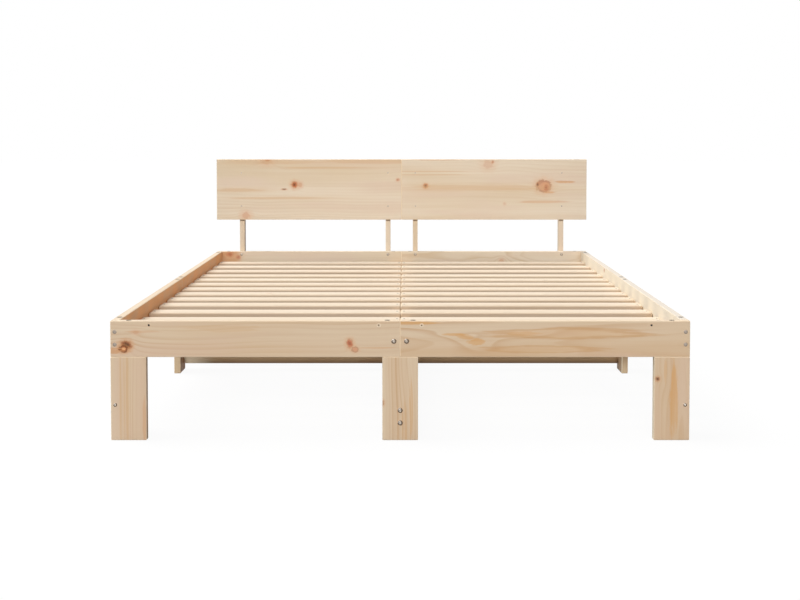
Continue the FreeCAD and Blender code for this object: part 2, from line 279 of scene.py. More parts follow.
def make_pine_group():
    inputs = [("Place", "Vector"), ("Pith", "Vector"), ("Ring", "Float"), ("Push", "Float"),
              ("Seed", "Float"), ("Contrast", "Float"), ("Light", "Color"), ("Dark", "Color"),
              ("Heart", "Color"), ("Blush", "Color")]
    outputs = [("Color", "Color"), ("Height", "Float"), ("Roughness", "Float")]
    tree, s, given, result = new_group("pine", inputs, outputs)
    place = given["Place"]
    seed = given["Seed"]
    lookup = s.vector("MULTIPLY", s.combine(seed, seed, seed), SEED_STRIDES)
    lookup = s.vector("ADD", place, lookup)

    wander = s.noise(s.vector("MULTIPLY", lookup, WANDER_SCALES), detail=1.0)["Color"]
    wander = s.vector("MULTIPLY", s.vector("SUBTRACT", wander, MID_GREY), WANDER)
    from_pith = s.vector("ADD", s.vector("SUBTRACT", place, given["Pith"]), wander)
    from_pith = s.vector("MULTIPLY", from_pith, ACROSS_GRAIN)
    radius = s.plus(s.vector("LENGTH", from_pith), given["Push"])
    radius = s.plus(radius, s.swing(s.grain(lookup, RIPPLE_SCALES), RIPPLE))
    rings = s.math("DIVIDE", radius, given["Ring"])
    years = s.noise(s.combine(s.times(rings, YEAR_SCALE), seed), detail=1.0)["Fac"]
    rings = s.plus(rings, s.times(years, YEAR_SPREAD))
    late = s.ramp(s.math("FRACT", rings), LATE_WOOD)
    late = s.times(late, s.plus(years, LATE_LEAST))
    along = s.times(s.parts(place)[X], SPELL_ALONG)
    spell = s.combine(s.times(rings, SPELL_SCALE), s.plus(seed, SPELL_SEED), along)
    spell = s.fade(s.noise(spell, detail=1.0)["Fac"], *SPELL_LIMITS)
    late = s.times(late, s.plus(s.times(spell, SPELL_GAIN), SPELL_LEAST))

    fibre = s.grain(lookup, FIBRE_SCALES, detail=3.0, roughness=FIBRE_ROUGHNESS)
    depth = s.times(late, given["Contrast"])
    depth = s.plus(depth, s.swing(fibre, FIBRE_SWING))
    depth = s.plus(depth, s.swing(s.grain(lookup, STREAK_SCALES), STREAK_SWING))
    depth = s.plus(depth, s.swing(s.grain(lookup, BAND_SCALES, detail=1.0), BAND_SWING))
    depth = s.plus(depth, LEAST_DEPTH, clamp=True)
    color = s.blend(depth, given["Light"], given["Dark"])
    heart = s.fade(s.grain(lookup, HEART_SCALES), *HEART_LIMITS)
    color = s.cover(color, heart, CLOUD_SHARE, given["Heart"])
    blush = s.fade(s.grain(lookup, BLUSH_SCALES), *BLUSH_LIMITS)
    color = s.cover(color, blush, CLOUD_SHARE, given["Blush"])
    s.feed(result["Color"], color)
    s.feed(result["Height"], s.plus(s.times(late, LATE_HEIGHT), s.times(fibre, FIBRE_HEIGHT)))
    smooth = s.math("SUBTRACT", ROUGHNESS, s.times(late, LATE_GLOSS))
    s.feed(result["Roughness"], s.plus(s.times(fibre, FIBRE_MATT), smooth))
    return tree


KNOT_STRIDES = (91.0, 57.0, 0.0)
# Scale and reach of the coarse and the fine waves of a knot's outline
KNOT_WAVES = ((1.3, 1.1), (5.0, 0.45))
# How far the rings are pushed aside, and how soon that fades
PUSH_REACH = 0.9
PUSH_FADE = -0.2
NATURAL_BASE = 2.718
# Where the zones of a knot begin and are full, in knot radii from its centre
KNOT_ZONES = {"Core": (1.1, 0.65), "Heart": (0.8, 0.15), "Halo": (2.4, 0.7)}
RIM_INSIDE = (0.6, 0.95)
RIM_OUTSIDE = (1.35, 1.0)


def make_knot_group():
    inputs = [("Place", "Vector"), ("Centre", "Vector"), ("Shape", "Vector"), ("Radius", "Float")]
    outputs = [("Push", "Float"), ("Core", "Float"), ("Heart", "Float"), ("Rim", "Float"), ("Halo", "Float")]
    tree, s, given, result = new_group("knot", inputs, outputs)
    radius = given["Radius"]
    away = s.vector("MULTIPLY", s.vector("SUBTRACT", given["Place"], given["Centre"]), given["Shape"])
    away = s.vector("DIVIDE", away, s.combine(radius, radius, radius))
    lookup = s.vector("ADD", away, s.vector("MULTIPLY", given["Centre"], KNOT_STRIDES))
    distance = s.vector("LENGTH", away)
    ragged = distance
    for scale, reach in KNOT_WAVES:
        ragged = s.plus(ragged, s.swing(s.noise(lookup, scale=scale)["Fac"], reach))
    falloff = s.math("POWER", NATURAL_BASE, s.times(s.times(distance, distance), PUSH_FADE))
    s.feed(result["Push"], s.times(s.times(falloff, radius), PUSH_REACH))
    s.feed(result["Rim"], s.times(s.fade(ragged, *RIM_INSIDE), s.fade(ragged, *RIM_OUTSIDE)))
    for zone, limits in KNOT_ZONES.items():
        s.feed(result[zone], s.fade(ragged, *limits))
    return tree


PINE = make_pine_group()
KNOT = make_knot_group()

# Colours of the wood, as sRGB levels

TONE_INPUTS = ("Light", "Dark", "Heart", "Blush")
TONES = {
    "frame": ((220, 197, 168), (200, 163, 126), (208, 173, 132), (216, 187, 162)),
    "panel": ((226, 210, 188), (206, 179, 145), (214, 191, 157), (220, 196, 175)),
    # The shaded tone is painted shade: darker wood for the stretchers under the bed
    "shaded": ((186, 157, 120), (164, 125, 84), (172, 133, 91), (178, 145, 109)),
    "slat": ((232, 216, 194), (214, 188, 158), (222, 199, 168), (226, 205, 184)),
    "warm": ((246, 222, 186), (226, 188, 144), (236, 200, 152), (240, 208, 172)),
}
# Boards that aren't in the frame's tone, by the start of their name
BOARD_TONES = {
    "slat": "slat", "head_": "panel", "headboard": "panel", "left_middle": "warm", "right_middle": "warm",
    "cross_stretcher": "shaded", "long_stretcher": "shaded",
}
# Looks of a knot: how much of a tint covers each zone, in the order of painting
KNOT_STYLES = {
    "red": {"Halo": (0.55, (218, 160, 112)), "Core": (0.85, (198, 106, 64)),
            "Rim": (0.3, (160, 92, 58)), "Heart": (0.6, (130, 50, 26))},
    "dark": {"Halo": (0.6, (208, 140, 80)), "Core": (0.9, (132, 70, 32)),
             "Rim": (0.5, (150, 80, 36)), "Heart": (0.9, (30, 16, 10))},
    "eye": {"Halo": (0.6, (208, 140, 78)), "Core": (0.9, (176, 92, 36)),
            "Rim": (0.8, (104, 52, 22)), "Heart": (0.75, (246, 190, 134))},
    "rimmed": {"Halo": (0.45, (218, 162, 112)), "Core": (0.8, (204, 138, 100)),
               "Rim": (0.6, (158, 88, 54)), "Heart": (0.2, (206, 132, 90))},
    "pale": {"Halo": (0.5, (218, 172, 138)), "Core": (0.5, (200, 146, 112))},
    "stain": {"Core": (0.75, (206, 148, 98))},
    "tan": {"Halo": (0.3, (214, 182, 142)), "Core": (0.55, (208, 168, 124))},
    "flame": {"Core": (1.0, (212, 158, 94))},
    "lens": {"Core": (0.3, (212, 166, 110)), "Rim": (0.6, (198, 148, 94))},
}
FLAME_LEAST = 0.25
EASED_EDGE = srgb(246, 228, 200)
# Painted sheen: a pale colour over every upward face
PAINTED_TOP_SHEEN = srgb(240, 226, 204)
END_GRAIN = srgb(192, 148, 104)
# Painted shade on the slats
SLAT_PAINTED_SHADE = srgb(150, 116, 84)
# Painted shade in the holes and round the wells
PAINTED_HOLE_SHADE = srgb(40, 26, 16)
# Painted shadow of the headboard on the posts
POST_PAINTED_SHADOW = srgb(112, 84, 56)
# Painted shade and painted light on the low strip under the foot rail
STRIP_PAINTED_SHADE = srgb(104, 76, 48)
STRIP_PAINTED_LIGHT = srgb(222, 188, 146)
# Painted light on faces turned to the light, and painted highlights on edges
PAINTED_LIGHT_PALE = srgb(252, 236, 206)
# Painted shade on faces turned away from the light
LEG_SHADE = srgb(150, 108, 66)
# Painted light on the right rail's inner face
PAINTED_LIGHT_CREAM = srgb(255, 248, 230)
ROSY = srgb(208, 206, 202)
AMBER = srgb(248, 179, 119)
TAN_AMBER = srgb(202, 154, 109)
# Painted shade in an amber tone, for the left middle leg's inner face
SHADED_AMBER = srgb(136, 76, 34)

# What the photograph shows on single boards

# Marks: place on the board's face in millimetres, radius, stretch along the grain, strength and look
SHOWN_KNOTS = {
    "headboard_left": [
        (-450, 604, 13, 1.0, 1.0, "red"), (-451, 604, 8, 1.0, 0.55, "dark"),
        (-426, 603, 11, 0.8, 0.9, "pale"), (-494, 585, 3, 3.2, 0.6, "dark"),
        (-568, 704, 16, 1.6, 0.8, "pale"), (-564, 710, 7, 1.2, 1.0, "red"),
        (-655, 474, 15, 1.2, 0.9, "pale"), (-16, 625, 6, 1.2, 0.5, "red"),
        (-690, 582, 9, 12.0, 0.8, "tan"), (-520, 548, 6, 36.0, 0.7, "tan"),
        (-560, 700, 12, 18.0, 0.6, "tan"), (-120, 702, 10, 24.0, 0.8, "tan"),
        (-330, 676, 5, 40.0, 0.6, "tan"),
    ],
    "headboard_right": [
        (101, 599, 9, 1.1, 0.95, "red"), (101, 599, 5.5, 1.0, 1.0, "dark"),
        (597, 599, 22, 1.3, 0.95, "rimmed"), (608, 592, 12, 0.8, 1.0, "red"),
        (572, 605, 7, 0.7, 0.7, "dark"), (688, 616, 6, 7.5, 0.9, "stain"),
        (622, 572, 5, 5.0, 0.7, "stain"), (433, 524, 6, 0.9, 0.5, "pale"),
        (364, 690, 20, 1.1, 0.6, "pale"), (383, 700, 6, 0.8, 0.5, "red"),
        (600, 532, 6, 20.0, 0.55, "stain"), (330, 592, 14, 24.0, 0.7, "tan"),
        (110, 660, 3, 60.0, 0.8, "tan"), (110, 646, 3, 60.0, 0.7, "tan"),
        (160, 710, 6, 20.0, 0.4, "stain"),
    ],
    "foot_rail_left": [
        (-735, 257, 11, 1.2, 1.0, "dark"), (-742, 247, 8, 1.3, 1.0, "eye"),
        (-770, 241, 7, 4.0, 0.9, "stain"), (-764, 249, 2, 10.0, 1.0, "stain"),
        (-709, 292, 6, 1.5, 0.7, "pale"), (-690, 294, 4, 12.0, 0.4, "stain"),
        (-135, 262, 11, 0.8, 0.85, "red"), (-121, 246, 7, 1.2, 0.7, "rimmed"),
        (-470, 302, 10, 11.0, 0.6, "tan"), (-60, 250, 3, 18.0, 0.4, "stain"),
    ],
    "foot_rail_right": [
        (147, 286, 4, 9.0, 1.0, "flame"), (176, 279, 7, 3.5, 0.8, "flame"),
        (204, 266, 11, 2.4, 1.0, "flame"), (455, 289, 13, 15.0, 0.9, "lens"),
        (330, 288, 7, 7.0, 0.6, "flame"), (40, 317, 5, 14.0, 1.0, "flame"),
        (380, 246, 9, 16.0, 0.7, "lens"),
    ],
    "foot_centre_leg": [
        (-52, 101, 7, 1.2, 0.7, "dark"), (30, 90, 6, 14.0, 0.45, "flame"),
        (12, 40, 8, 9.0, 0.3, "flame"),
    ],
    "foot_right_leg_face": [
        (691, 166, 5.5, 1.0, 0.65, "dark"), (735, 110, 12, 9.0, 0.75, "flame"),
        (712, 190, 4, 9.0, 0.5, "flame"),
    ],
    "foot_left_leg_face": [
        (-687, 50, 6, 12.0, 0.5, "stain"), (-751, 120, 3, 50.0, 0.8, "tan"),
        (-733, 120, 4, 50.0, 0.9, "tan"), (-741, 100, 2, 60.0, 0.7, "tan"),
    ],
    "head_rail_right": [(421, 285, 8, 1.2, 0.7, "pale")],
    "head_rail_left": [(-724, 311, 11, 1.4, 0.55, "red"), (-688, 299, 9, 1.0, 0.5, "red")],
    "right_rail_head_half": [(337, 312, 8, 1.8, 1.0, "stain")],
    "right_rail_foot_half": [],
}
# The pith's place across the board and through it, in millimetres
PITHS = {
    "headboard_left": (190, 60), "headboard_right": (-170, 60), "foot_rail_left": (95, 40),
    "foot_rail_right": (-14, 60), "foot_centre_leg": (90, 40), "foot_left_leg_face": (120, 30),
    "foot_right_leg_face": (10, 46),
}
# Width of a growth ring, in metres
RINGS = {
    "headboard_left": 0.013, "headboard_right": 0.015, "foot_rail_left": 0.012,
    "foot_left_leg_face": 0.010, "foot_centre_leg": 0.008, "foot_rail_right": 0.009,
}
CONTRASTS = {
    "headboard_left": 0.26, "headboard_right": 0.28, "foot_rail_left": 0.62, "foot_left_leg_face": 0.7,
    "foot_rail_right": 0.9, "foot_right_leg_face": 0.3,
}
# Faces on the heart side of their log, and the left middle leg's inner face darkened as painted shade:
# axis and way of the face, where along X the tint begins, tint
AMBER_FACES = {
    "left_rail_foot_half": (X, 1, None, AMBER),
    "left_rail_head_half": (X, 1, None, AMBER),
    "head_rail_left": (Y, -1, -662, TAN_AMBER),
    # Painted shade on the left middle leg's inner face
    "left_middle_leg": (X, 1, None, SHADED_AMBER),
}
AMBER_FADE = 40
AMBER_SCALES = (9.0, 26.0, 26.0)
AMBER_LIMITS = (0.3, 0.65)
AMBER_SWING = 0.3
AMBER_LEAST = 0.65
# Boards with faces in painted light (paler) and painted shade (darker), and the right rail's greyer top:
# axis and way of the face, how much of the tint covers it, tint
RIGHT_RAIL_TINTS = ((X, -1, 0.8, PAINTED_LIGHT_CREAM), (Z, 1, 0.75, ROSY))
FACE_TINTS = {
    "foot_right_leg_face": ((X, -1, 0.85, PAINTED_LIGHT_PALE),),
    "foot_left_leg_face": ((X, 1, 0.6, LEG_SHADE),),
    "right_middle_leg": ((X, -1, 0.5, LEG_SHADE),),
    "head_post_left_outer": ((X, 1, 0.6, LEG_SHADE),),
    "head_post_left_inner": ((X, 1, 0.6, LEG_SHADE),),
    "right_rail_foot_half": RIGHT_RAIL_TINTS,
    "right_rail_head_half": RIGHT_RAIL_TINTS,
}

# Painting of the boards

# How squarely a surface faces one way before a tint begins and is full
TURNED = (0.5, 0.9)
LEVEL = (0.8, 0.95)
END_TURNED = (0.75, 0.95)
EASED_LIMITS = (0.97, 0.85)
PAINTED_TOP_SHEEN_SHARE = 0.4
END_GRAIN_SHARE = 0.35
EASED_SHARE = 0.6
# Painted shade in dark rings round the wells, in millimetres from their centre
WELL_RING = (8.6, 7.2)
WELL_SHARE = 0.95
WELL_MATT = 0.5
# Painted shadow of the headboard on the posts, in millimetres below the headboard
SHADOW_DROPS = (9, 4)
SHADOW_SHARE = 0.75
# Painted shade and painted light on the low strip under the foot rail, in millimetres above its lower edge
STRIP_LOW = (14, 2)
STRIP_LOW_SHARE = 0.6
STRIP_HIGH = (9, 24)
STRIP_HIGH_SHARE = 0.55
# The strip's left end paler as painted light, in metres along X
STRIP_LIT_END = (-0.64, -0.75)
STRIP_LIT_END_SHARE = 0.98
# Painted shade on the right middle leg's front and a painted highlight on its pale edge,
# in millimetres from the board's low side
LEG_SHADE_RISE = (12, 62)
LEG_SHADE_SHARE = 0.6
ARRIS_HIGHLIGHT = (5, 3)
ARRIS_HIGHLIGHT_SHARE = 0.9
# Slats: painted shade on their edges and on their half towards the foot,
# in metres from the slat's middle
SLAT_TURNED = (0.25, 0.9)
SLAT_EDGE_SHARE = 0.4
SLAT_FOOT_SIDE = (0.012, -0.04)
SLAT_FOOT_SHARE = 0.16
SLAT_SEED_STEP = 5.3
# Walls of holes are what lies deeper than the skin of the board
SKIN = 2 * MM
WALL_LIMITS = (0.4, 0.2)
# Pale walls and torn rims of the inner spare holes, in millimetres from their centre
PALE_BORE = (5, 4)
TORN_RIM = (6.5, 4.5)
TORN_SHARE = 0.6


class Board:
    """One board: its axes, and the pine that is painted on it."""

    def __init__(self, node):
        self.node = node
        self.slat = node.startswith("slat")
        self.low, self.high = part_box(node)
        size = [self.high[axis] - self.low[axis] for axis in AXES]
        # Along the grain, across the face and through the board
        self.order = sorted(AXES, key=lambda axis: -size[axis])
        self.face_axes = sorted(self.order[:2])
        self.centre = [(self.low[axis] + self.high[axis]) / 2 for axis in AXES]

    def tone(self):
        for start, tone in BOARD_TONES.items():
            if self.node.startswith(start):
                return tone
        return "frame"

    def grow(self, seed, pith, ring, contrast, knots):
        """The plain wood, with its rings pushed aside by the knots."""
        self.material, s = new_material("pine_" + self.node)
        self.s = s
        self.world = s.node("ShaderNodeTexCoord").outputs["Object"]
        self.at = s.parts(self.world)
        self.local = s.parts(s.vector("SUBTRACT", self.world, tuple(self.centre)))
        self.normal = s.parts(s.node("ShaderNodeNewGeometry").outputs["True Normal"])
        place = s.combine(*(self.local[axis] for axis in self.order))
        if self.slat:
            right_half = s.math("GREATER_THAN", self.at[X], 0.0)
            seed = s.plus(s.times(right_half, SLAT_SEED_STEP), seed)

        push = 0.0
        self.marks = []
        for first, second, radius, stretch, strength, style in knots:
            spot = [0.0, 0.0, 0.0]
            for axis, along in zip(self.face_axes, (first, second)):
                spot[axis] = along * MM - self.centre[axis]
            knot = s.node("ShaderNodeGroup", node_tree=KNOT)
            s.feed(knot.inputs["Place"], place)
            knot.inputs["Centre"].default_value = (spot[self.order[0]], spot[self.order[1]], 0.0)
            knot.inputs["Shape"].default_value = (1 / stretch, 1.0, 0.0)
            knot.inputs["Radius"].default_value = radius * MM
            push = s.plus(push, knot.outputs["Push"])
            self.marks.append((knot.outputs, strength, style))

        wood = s.node("ShaderNodeGroup", node_tree=PINE)
        s.feed(wood.inputs["Place"], place)
        s.feed(wood.inputs["Push"], push)
        s.feed(wood.inputs["Seed"], seed)
        wood.inputs["Pith"].default_value = (0.0, pith[0] * MM, pith[1] * MM)
        wood.inputs["Ring"].default_value = ring
        wood.inputs["Contrast"].default_value = contrast
        for name, levels in zip(TONE_INPUTS, TONES[self.tone()]):
            wood.inputs[name].default_value = srgb(*levels)
        self.place = place
        self.color = wood.outputs["Color"]
        self.height = wood.outputs["Height"]
        self.rough = wood.outputs["Roughness"]

    def cover(self, mask, share, tint):
        self.color = self.s.cover(self.color, mask, share, tint)

    def faces(self, axis, way, limits=TURNED):
        """1 where the surface faces one way along an axis."""
        return self.s.fade(self.s.times(self.normal[axis], way), *limits)

    def past_low_side(self, axis, start, end):
        """A fade between two distances from the board's low side, in millimetres."""
        low = self.low[axis]
        return self.s.fade(self.at[axis], low + start * MM, low + end * MM)

    def paint_amber_faces(self):
        s = self.s
        axis, way, begin, amber = AMBER_FACES[self.node]
        facing = self.faces(axis, way)
        if begin is not None:
            facing = s.times(facing, s.fade(self.at[X], begin * MM, (begin - AMBER_FADE) * MM))
        cloud = s.fade(s.grain(self.place, AMBER_SCALES, detail=3.0), *AMBER_LIMITS)
        share = s.plus(s.times(cloud, AMBER_SWING), AMBER_LEAST)
        self.cover(facing, share, amber)

    def paint_knots(self):
        s = self.s
        for masks, strength, style in self.marks:
            for zone, (share, levels) in KNOT_STYLES[style].items():
                mask = s.times(masks[zone], share * strength)
                if style == "flame":
                    mask = s.times(mask, s.plus(self.height, FLAME_LEAST), clamp=True)
                self.color = s.blend(mask, self.color, srgb(*levels))

    def paint_sides(self):
        """Paler tops as a painted sheen, darker ends and pale eased edges."""
        s = self.s
        # Painted sheen: upward faces are paler
        self.cover(self.faces(Z, 1, LEVEL), PAINTED_TOP_SHEEN_SHARE, PAINTED_TOP_SHEEN)
        end = s.fade(s.size(self.normal[self.order[0]]), *END_TURNED)
        self.cover(end, END_GRAIN_SHARE, END_GRAIN)
        flat = s.greater(s.size(self.normal[X]), s.size(self.normal[Y]))
        flat = s.greater(flat, s.size(self.normal[Z]))
        self.cover(s.fade(flat, *EASED_LIMITS), EASED_SHARE, EASED_EDGE)

    def paint_wells(self):
        """Painted shade in dark, matt rings round the wells of the leg bolts."""
        s = self.s
        for x, y in WELLS:
            if self.low[X] < x < self.high[X] and self.low[Y] < y < self.high[Y]:
                away = s.distance(self.world, (x, y, 0.0), (1.0, 1.0, 0.0))
                ring = s.fade(away, *(edge * MM for edge in WELL_RING))
                ring = s.times(ring, self.faces(Z, 1, LEVEL))
                # Painted shade: a dark ring round each well
                self.cover(ring, WELL_SHARE, PAINTED_HOLE_SHADE)
                self.rough = s.plus(self.rough, s.times(ring, WELL_MATT), clamp=True)

    def paint_post(self):
        """Painted shadow of the headboard: the dark corner of a post under the headboard."""
        s = self.s
        near = s.fade(self.at[Z], *(PANEL_LOW[Z] - drop * MM for drop in SHADOW_DROPS))
        corner = s.times(near, s.math("LESS_THAN", self.at[Z], PANEL_LOW[Z]))
        self.cover(s.times(corner, self.faces(Y, -1)), SHADOW_SHARE, POST_PAINTED_SHADOW)

    def paint_strip(self):
        """The low strip under the foot rail: painted shade below, painted light above and at its left end.
        """
        self.cover(self.past_low_side(Z, *STRIP_LOW), STRIP_LOW_SHARE, STRIP_PAINTED_SHADE)
        self.cover(self.past_low_side(Z, *STRIP_HIGH), STRIP_HIGH_SHARE, STRIP_PAINTED_LIGHT)
        if self.node == "cross_stretcher_left":
            self.cover(self.s.fade(self.at[X], *STRIP_LIT_END), STRIP_LIT_END_SHARE, PAINTED_LIGHT_PALE)

    def paint_middle_leg(self):
        """The front of the right middle leg: painted shade towards the rail, and a painted highlight on one
        pale edge.
        """
        s = self.s
        front = self.faces(Y, -1)
        shade = s.times(front, self.past_low_side(Z, *LEG_SHADE_RISE))
        self.cover(shade, LEG_SHADE_SHARE, LEG_SHADE)
        arris = s.times(front, self.past_low_side(X, *ARRIS_HIGHLIGHT))
        self.cover(arris, ARRIS_HIGHLIGHT_SHARE, PAINTED_LIGHT_PALE)

    def paint_slat(self):
        s = self.s
        # Painted shade: a darker half towards the foot, and darker faces towards foot and head
        self.cover(s.fade(self.local[Y], *SLAT_FOOT_SIDE), SLAT_FOOT_SHARE, SLAT_PAINTED_SHADE)
        self.cover(s.fade(s.size(self.normal[Y]), *SLAT_TURNED), SLAT_EDGE_SHARE, SLAT_PAINTED_SHADE)

    def paint_holes(self):
        """Painted shade on the walls in the holes, and pale walls in the foot rail's inner spare holes."""
        s = self.s
        skin = 0.0
        for axis in AXES:
            half = (self.high[axis] - self.low[axis]) / 2
            depth = s.math("SUBTRACT", half, s.size(self.local[axis]))
            near = s.math("LESS_THAN", depth, SKIN)
            skin = s.greater(skin, s.times(near, s.size(self.normal[axis])))
        # Painted shade on the walls of the holes
        wall = PAINTED_HOLE_SHADE
        if self.node.startswith("foot_rail"):
            side = POSTS[0] if self.high[X] > RIGHT / 2 else -POSTS[0]
            away = s.distance(self.world, (side, FOOT, POST_BOLT_HEIGHT), (1.0, 0.0, 1.0))
            wall = s.blend(s.fade(away, *(edge * MM for edge in PALE_BORE)), PAINTED_HOLE_SHADE, EASED_EDGE)
            torn = s.fade(away, *(edge * MM for edge in TORN_RIM))
            self.cover(s.times(torn, self.faces(Y, -1, LEVEL)), TORN_SHARE, EASED_EDGE)
        self.color = s.blend(s.fade(skin, *WALL_LIMITS), self.color, wall)

    def paint(self):
        """All the tints and marks, each over the ones before it."""
        if self.node in AMBER_FACES:
            self.paint_amber_faces()
        for axis, way, share, tint in FACE_TINTS.get(self.node, ()):
            self.cover(self.faces(axis, way), share, tint)
        self.paint_knots()
        self.paint_sides()
        if "_rail_" in self.node:
            self.paint_wells()
        if self.node.startswith("head_post"):
            self.paint_post()
        if self.node.startswith("cross_stretcher"):
            self.paint_strip()
        if self.node == "right_middle_leg":
            self.paint_middle_leg()
        if self.slat:
            self.paint_slat()
        else:
            self.paint_holes()

    def finish(self):
        s = self.s
        shader = s.tree.nodes["Principled BSDF"]
        s.feed(shader.inputs["Base Color"], self.color)
        s.feed(shader.inputs["Roughness"], self.rough)
        shader.inputs["Specular IOR Level"].default_value = WOOD_SPECULAR
        s.relief(shader, self.height, *WOOD_RELIEF)
        mesh = NODES[self.node].data
        mesh.materials.clear()
        mesh.materials.append(self.material)


# Chance for what the photograph doesn't show

DICE_STEP, DICE_START = 7, 3
WOOD_SEED_STEP = 1.37
KNOT_COUNTS = (0, 1, 1, 2)
KNOT_RADII = (4, 9)
KNOT_STRETCHES = (1.0, 1.6)
KNOT_STRENGTHS = (0.4, 0.9)
SLAT_KNOT_STRENGTH = 0.35
CHANCE_STYLES = ("red", "pale", "red")
PITH_ACROSS = (-60, 60)
PITH_DEPTHS = (45, 110)
RING_WIDTHS = (0.0034, 0.0052)
CHANCE_CONTRASTS = (0.4, 0.6)
# Rounder edges of the slats
SLAT_WELD = 0.01 * MM
SLAT_ROUND = 1.6 * MM
SLAT_ROUND_STEPS = 2
SHARP_EDGE = math.radians(30)


def chance_knots(board, dice):
    """A few knots for a board that has no marks from the photograph."""
    knots = []
    strength = SLAT_KNOT_STRENGTH if board.slat else 1.0
    for _ in range(dice.choice(KNOT_COUNTS)):
        place = [dice.uniform(board.low[axis], board.high[axis]) / MM for axis in board.face_axes]
        radius = dice.uniform(*KNOT_RADII)
        stretch = dice.uniform(*KNOT_STRETCHES)
        share = dice.uniform(*KNOT_STRENGTHS) * strength
        knots.append((*place, radius, stretch, share, dice.choice(CHANCE_STYLES)))
    return knots


def round_edges(piece):
    """Slats have rounder edges than the other boards."""
    weld = piece.modifiers.new("weld", "WELD")
    weld.merge_threshold = SLAT_WELD
    bevel = piece.modifiers.new("round", "BEVEL")
    bevel.width = SLAT_ROUND
    bevel.segments = SLAT_ROUND_STEPS
    bevel.limit_method = "ANGLE"
    bevel.angle_limit = SHARP_EDGE


def dress_boards():
    for number, node in enumerate(sorted(NODES)):
        if node.endswith("_bolts"):
            continue
        board = Board(node)
        dice = random.Random(number * DICE_STEP + DICE_START)
        knots = SHOWN_KNOTS.get(node)
        if knots is None:
            knots = chance_knots(board, dice)
        across = dice.uniform(*PITH_ACROSS)
        through = dice.choice(SIGNS) * dice.uniform(*PITH_DEPTHS)
        ring = dice.uniform(*RING_WIDTHS)
        contrast = dice.uniform(*CHANCE_CONTRASTS)
        board.grow(number * WOOD_SEED_STEP, PITHS.get(node, (across, through)),
                   RINGS.get(node, ring), CONTRASTS.get(node, contrast), knots)
        board.paint()
        board.finish()
        if board.slat:
            round_edges(NODES[node])


# Fasteners

# Steel: dull colour (a painted dark reflection) and bright colour as sRGB levels, and least roughness
FINISHES = {
    "zinc_steel": ((116, 104, 92), (206, 200, 192), 0.2),
    "dull_steel": ((122, 115, 108), (138, 130, 122), 0.42),
    "pale_steel": ((140, 130, 120), (160, 150, 140), 0.42),
    "tan_steel": ((172, 160, 148), (190, 178, 160), 0.42),
}
STEEL_CLOUD_SCALE = 900.0
# The bright middle of a head, where the painted dark reflection ends, in head radii from its centre
BRIGHT_MIDDLE = (0.43, 0.3)
CLOUD_SWING = 0.5
CLOUD_LEAST = 0.75
# Painted highlight: the flank towards the upper left is brighter
UPPER_LEFT = (-0.6, 0.0, 0.8)
FLANK_LIMITS = (0.1, 0.7)
FLANK_SHARE = 0.7
STEEL_MATT = 0.3
STEEL_RELIEF = (0.1, 0.0002)


def steel_material(name):
    """Zinc-plated steel, duller towards the rim of each head as a painted dark reflection,
    with a painted highlight on the flank towards the upper left.
    """
    dull, bright, rough = FINISHES[name]
    dull, bright = srgb(*dull), srgb(*bright)
    material, s = new_material(name)
    shader = s.tree.nodes["Principled BSDF"]
    world = s.node("ShaderNodeTexCoord").outputs["Object"]
    rim = s.node("ShaderNodeAttribute", attribute_name="rim").outputs["Fac"]
    cloud = s.noise(world, scale=STEEL_CLOUD_SCALE, detail=3.0)["Fac"]
    shade = s.plus(s.times(cloud, CLOUD_SWING), CLOUD_LEAST)
    shade = s.times(s.fade(rim, *BRIGHT_MIDDLE), shade, clamp=True)
    normal = s.node("ShaderNodeNewGeometry").outputs["Normal"]
    upper = s.fade(s.vector("DOT_PRODUCT", normal, UPPER_LEFT), *FLANK_LIMITS)
    flank = s.cover(dull, upper, FLANK_SHARE, bright)
    s.feed(shader.inputs["Base Color"], s.blend(shade, flank, bright))
    s.feed(shader.inputs["Roughness"], s.plus(s.times(cloud, STEEL_MATT), rough))
    shader.inputs["Metallic"].default_value = 1.0
    s.relief(shader, cloud, *STEEL_RELIEF)
    return material


# Heads in millimetres: radius, rise of the crown, radius over the socket's corners, depth of the socket
BUTTON_HEAD = (7, 4.4, 2.9, 2.2)
CORNER_HEAD = (5.4, 0.9, 2.4, 0.45)
LEG_SCREW_HEAD = (5, 2.8, 1.6, 1.2)
SUNK_HEAD = (5, 4, 2.3, 2)
SCREW_HEAD = (3.2, 0.35, 1.3, 0.3)
POST_BOLT_HEAD = (6, 3.2, 2.2, 1.6)
HEAD_SIDES = 24
CROWN_STEPS = 5
# The crown ends a little outside the socket
CROWN_END = 1.25
DOME_FULLNESS = 0.98
FLAT_RISE = 6
# Each head is turned on from the one before it, in radians
HEAD_TURN = 0.4
SMOOTH_ANGLE = math.radians(35)


